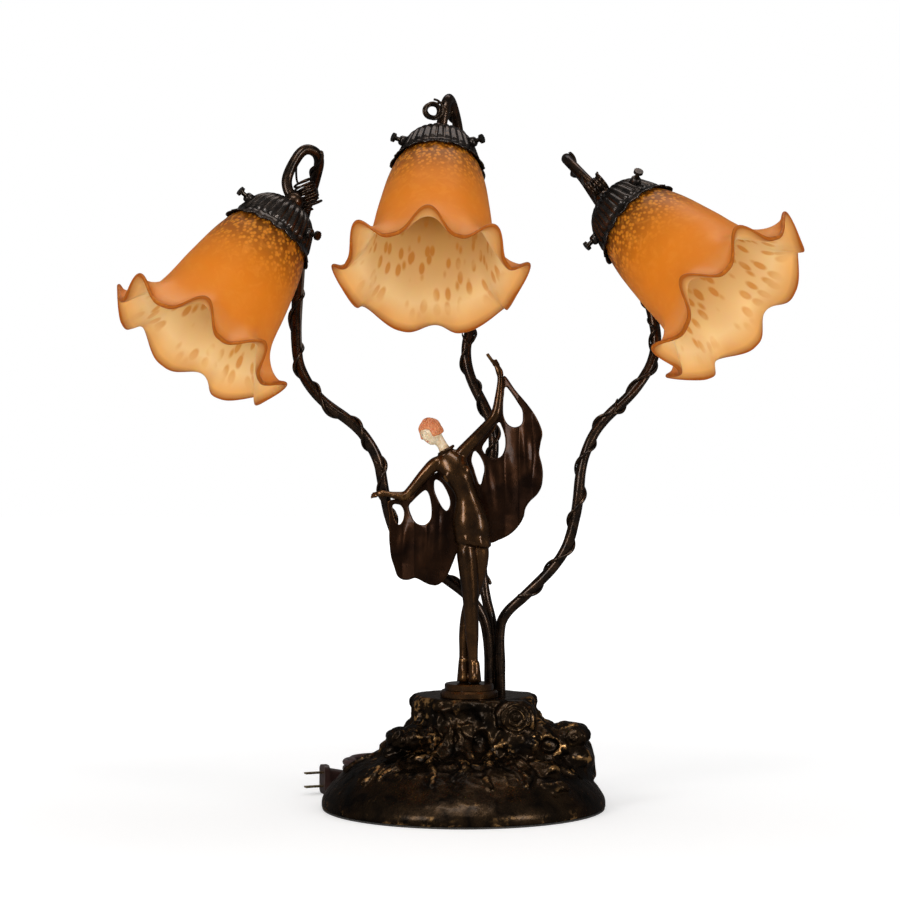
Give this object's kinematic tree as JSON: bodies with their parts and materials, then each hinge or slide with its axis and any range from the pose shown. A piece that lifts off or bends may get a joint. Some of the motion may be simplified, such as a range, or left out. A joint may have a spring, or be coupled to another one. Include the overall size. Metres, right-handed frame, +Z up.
{
  "type": "table lamp",
  "caption": "Figural table lamp: a caped dancer on a rocky base before vine-wound arms that rise behind it and carry ruffled amber glass bells, with a cord, inline switch and plug.",
  "frame": {"origin": "centre of the round base's underside, on the table", "axes": "+Z up, -Y towards the viewer of the figure, +X to the viewer's right"},
  "size_m": [0.5936, 0.3891, 0.6469],
  "materials": {
    "rock_bronze": "near-black brown bronze patina, glossy, rubbed to gold on the edges",
    "plinth_bronze": "dark brown bronze patina, glossy",
    "figure_bronze": "brown bronze patina with copper highlights",
    "ivory_paint": "pale ivory enamel face and neck, orange-red hair",
    "cape_bronze": "brown bronze patina with copper highlights",
    "felt": "dark felt",
    "steel": "plated steel",
    "cord_sheath": "maroon round cord",
    "moulded_plastic": "maroon moulded plastic",
    "wheel_plastic": "ribbed wheel",
    "tie_plastic": "black band",
    "connector_plastic": "twist-on connectors",
    "wire_insulation": "insulated pair",
    "blade_brass": "bare brass",
    "arm_bronze": "dark brown bronze patina",
    "vine_bronze": "dark bronze wire",
    "gallery_bronze": "near-black bronze patina on fluted metal",
    "screw_brass": "darkened brass",
    "socket_plastic": "black phenolic",
    "cap_metal": "threaded lamp cap",
    "bulb_glass": "frosted bulb",
    "amber_glass": "mottled amber frosted glass"
  },
  "bodies": {
    "lamp": {"arm_leads": "wire_insulation", "arm_tube_centre": "arm_bronze", "arm_tube_left": "arm_bronze", "arm_tube_right": "arm_bronze", "base_felt": "felt", "bulb_cap_centre": "cap_metal", "bulb_cap_left": "cap_metal", "bulb_cap_right": "cap_metal", "bulb_glass_centre": "bulb_glass", "bulb_glass_left": "bulb_glass", "bulb_glass_right": "bulb_glass", "cape_left": "cape_bronze", "cape_right": "cape_bronze", "cord_bushing": "moulded_plastic", "cord_coil": "cord_sheath", "cord_lead": "cord_sheath", "cord_tail": "cord_sheath", "cord_tie": "tie_plastic", "dancer_body": "figure_bronze", "dancer_head": "ivory_paint", "figure_bolt": "steel", "figure_plinth": "plinth_bronze", "gallery_centre": "gallery_bronze", "gallery_left": "gallery_bronze", "gallery_nipple_centre": "steel", "gallery_nipple_left": "steel", "gallery_nipple_right": "steel", "gallery_right": "gallery_bronze", "knuckle_centre": "arm_bronze", "knuckle_left": "arm_bronze", "knuckle_right": "arm_bronze", "plug_blades": "blade_brass", "plug_body": "moulded_plastic", "rock_base": "rock_bronze", "shade_centre": "amber_glass", "shade_left": "amber_glass", "shade_right": "amber_glass", "socket_centre": "socket_plastic", "socket_left": "socket_plastic", "socket_right": "socket_plastic", "stem_plate": "steel", "stem_screws": "steel", "switch_housing": "moulded_plastic", "tendril_centre": "vine_bronze", "tendril_left": "vine_bronze", "tendril_right": "vine_bronze", "vine_centre": "vine_bronze", "vine_left": "vine_bronze", "vine_right": "vine_bronze", "wire_nuts": "connector_plastic"},
    "switch_wheel": {"switch_wheel": "wheel_plastic"},
    "thumbscrew_left_1": {"thumbscrew_left_1": "screw_brass"},
    "thumbscrew_left_2": {"thumbscrew_left_2": "screw_brass"},
    "thumbscrew_left_3": {"thumbscrew_left_3": "screw_brass"},
    "thumbscrew_centre_1": {"thumbscrew_centre_1": "screw_brass"},
    "thumbscrew_centre_2": {"thumbscrew_centre_2": "screw_brass"},
    "thumbscrew_centre_3": {"thumbscrew_centre_3": "screw_brass"},
    "thumbscrew_right_1": {"thumbscrew_right_1": "screw_brass"},
    "thumbscrew_right_2": {"thumbscrew_right_2": "screw_brass"},
    "thumbscrew_right_3": {"thumbscrew_right_3": "screw_brass"}
  },
  "joints": [
    {"name": "left_screw_1_turn", "type": "hinge", "parent": "lamp", "child": "thumbscrew_left_1", "pos_m": [-0.12808, -0.04149, 0.5098], "axis": [0.8021, -0.5316, -0.2721], "range_deg": [0, 720]},
    {"name": "left_screw_2_turn", "type": "hinge", "parent": "lamp", "child": "thumbscrew_left_2", "pos_m": [-0.19817, -0.03561, 0.55078], "axis": [-0.6893, -0.4065, 0.5996], "range_deg": [0, 720]},
    {"name": "left_screw_3_turn", "type": "hinge", "parent": "lamp", "child": "thumbscrew_left_3", "pos_m": [-0.17108, 0.02759, 0.5072], "axis": [-0.1128, 0.9381, -0.3275], "range_deg": [0, 720]},
    {"name": "centre_screw_1_turn", "type": "hinge", "parent": "lamp", "child": "thumbscrew_centre_1", "pos_m": [0.0173, -0.01318, 0.59981], "axis": [0.8424, -0.4788, 0.2474], "range_deg": [0, 720]},
    {"name": "centre_screw_2_turn", "type": "hinge", "parent": "lamp", "child": "thumbscrew_centre_2", "pos_m": [-0.0639, -0.00779, 0.60178], "axis": [-0.8854, -0.3639, 0.2894], "range_deg": [0, 720]},
    {"name": "centre_screw_3_turn", "type": "hinge", "parent": "lamp", "child": "thumbscrew_centre_3", "pos_m": [-0.02027, 0.04892, 0.56295], "axis": [0.043, 0.8427, -0.5367], "range_deg": [0, 720]},
    {"name": "right_screw_1_turn", "type": "hinge", "parent": "lamp", "child": "thumbscrew_right_1", "pos_m": [0.15215, -0.07039, 0.56389], "axis": [0.2113, -0.6616, 0.7195], "range_deg": [0, 720]},
    {"name": "right_screw_2_turn", "type": "hinge", "parent": "lamp", "child": "thumbscrew_right_2", "pos_m": [0.1075, -0.048, 0.4996], "axis": [-0.7386, -0.1851, -0.6482], "range_deg": [0, 720]},
    {"name": "right_screw_3_turn", "type": "hinge", "parent": "lamp", "child": "thumbscrew_right_3", "pos_m": [0.167, 0.00049, 0.52672], "axis": [0.5274, 0.8466, -0.0713], "range_deg": [0, 720]},
    {"name": "switch_wheel_turn", "type": "hinge", "parent": "lamp", "child": "switch_wheel", "pos_m": [0.022, 0.2094, 0.0072], "axis": [0, 0, 1], "continuous": true}
  ]
}
